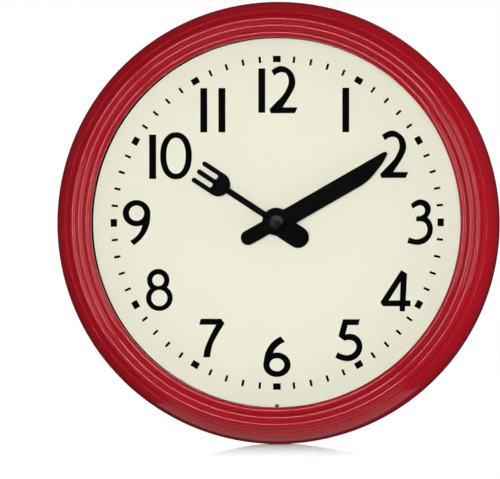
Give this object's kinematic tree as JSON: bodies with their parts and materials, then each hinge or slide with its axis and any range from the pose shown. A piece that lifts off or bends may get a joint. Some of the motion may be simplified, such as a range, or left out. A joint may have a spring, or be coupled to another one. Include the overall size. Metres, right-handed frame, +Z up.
{
  "type": "wall clock",
  "caption": "Round wall clock with a beaded metal case, glass, printed dial, fork and knife hands, and a battery quartz movement hung on a steel bracket.",
  "frame": {"origin": "point on the wall plane where the hanging nail bears at the top of the bracket's keyhole", "axes": "+Z up, the dial faces -Y, +X to the right seen from the front, +Y into the wall"},
  "size_m": [0.2414, 0.0375, 0.2413],
  "materials": {
    "red_enamel": "glossy red enamel",
    "glass": "clear flat glass",
    "dial_enamel": "satin cream",
    "dial_ink": "printed black",
    "hand_black": "semi-gloss black",
    "black_plastic": "fine-grained black",
    "black_steel": "satin black powder coat",
    "zinc_steel": "zinc plated",
    "motor_steel": "soft magnetic sheet",
    "brass": "turned brass",
    "rubber": "black rubber",
    "white_plastic": "moulded natural white",
    "copper_wire": "enamelled copper wire",
    "ferrite": "dark sintered magnet",
    "board": "green lacquered board",
    "chip_resin": "black potting resin",
    "crystal_can": "nickel plated can",
    "cell_sleeve": "plain shrink sleeve"
  },
  "bodies": {
    "clock": {"frame": "red_enamel", "lens": "glass", "spacer_ring": "black_plastic", "dial": "dial_enamel", "dial_print": "dial_ink", "back_plate": "black_steel", "back_screws": "zinc_steel", "hanger_bracket": "zinc_steel", "rubber_washer": "rubber", "fixing_washer": "brass", "fixing_nut": "brass", "centre_bush": "brass", "movement_case": "black_plastic", "movement_cover": "black_plastic", "bridge_plate": "white_plastic", "circuit_board": "board", "quartz_crystal": "crystal_can", "timing_chip": "chip_resin", "coil_bobbin": "white_plastic", "coil_winding": "copper_wire", "stator_core": "motor_steel", "positive_contact": "zinc_steel", "negative_contact": "zinc_steel"},
    "minute_set": {"minute_hand": "hand_black", "minute_collet": "hand_black", "cannon_pinion": "brass", "friction_spring": "brass"},
    "hour_set": {"hour_hand": "hand_black", "hour_collet": "hand_black", "hour_wheel": "white_plastic"},
    "motion_set": {"minute_wheel": "white_plastic"},
    "setting_set": {"setting_knob": "white_plastic"},
    "seconds_set": {"seconds_wheel": "white_plastic"},
    "rotor_set": {"rotor_magnet": "ferrite", "rotor_pinion": "white_plastic"},
    "intermediate_set": {"intermediate_wheel": "white_plastic"},
    "third_set": {"third_wheel": "white_plastic"},
    "centre_set": {"centre_wheel": "white_plastic"},
    "battery": {"battery_cell": "cell_sleeve", "battery_cap": "crystal_can"}
  },
  "joints": [
    {"name": "minute_spin", "type": "hinge", "parent": "clock", "child": "minute_set", "pos_m": [0, -0.01, -0.0426], "axis": [0, 1, 0], "continuous": true},
    {"name": "hour_spin", "type": "hinge", "parent": "clock", "child": "hour_set", "pos_m": [0, -0.01, -0.0426], "axis": [0, 1, 0], "continuous": true},
    {"name": "motion_spin", "type": "hinge", "parent": "clock", "child": "motion_set", "pos_m": [0.01195, -0.01, -0.04155], "axis": [0, 1, 0], "continuous": true},
    {"name": "setting_spin", "type": "hinge", "parent": "clock", "child": "setting_set", "pos_m": [0.02044, -0.01, -0.03307], "axis": [0, 1, 0], "continuous": true},
    {"name": "rotor_spin", "type": "hinge", "parent": "clock", "child": "rotor_set", "pos_m": [-0.01701, -0.01, -0.03787], "axis": [0, 1, 0], "continuous": true},
    {"name": "intermediate_spin", "type": "hinge", "parent": "clock", "child": "intermediate_set", "pos_m": [-0.00921, -0.01, -0.03925], "axis": [0, 1, 0], "continuous": true},
    {"name": "seconds_spin", "type": "hinge", "parent": "clock", "child": "seconds_set", "pos_m": [0, -0.01, -0.0426], "axis": [0, 1, 0], "continuous": true},
    {"name": "third_spin", "type": "hinge", "parent": "clock", "child": "third_set", "pos_m": [0.00612, -0.01, -0.032], "axis": [0, 1, 0], "continuous": true},
    {"name": "centre_spin", "type": "hinge", "parent": "clock", "child": "centre_set", "pos_m": [0, -0.01, -0.0426], "axis": [0, 1, 0], "continuous": true},
    {"name": "battery_slide", "type": "slide", "parent": "clock", "child": "battery", "axis": [0, 1, 0], "range_m": [0, 0.02]}
  ],
  "couplings": [
    {"joint": "hour_spin", "follows": "minute_spin", "ratio": 0.083333},
    {"joint": "motion_spin", "follows": "minute_spin", "ratio": -0.33333},
    {"joint": "setting_spin", "follows": "minute_spin", "ratio": 1},
    {"joint": "intermediate_spin", "follows": "rotor_spin", "ratio": -0.2},
    {"joint": "seconds_spin", "follows": "rotor_spin", "ratio": 0.033333},
    {"joint": "third_spin", "follows": "rotor_spin", "ratio": -0.0041667},
    {"joint": "centre_spin", "follows": "rotor_spin", "ratio": 0.00055556}
  ]
}
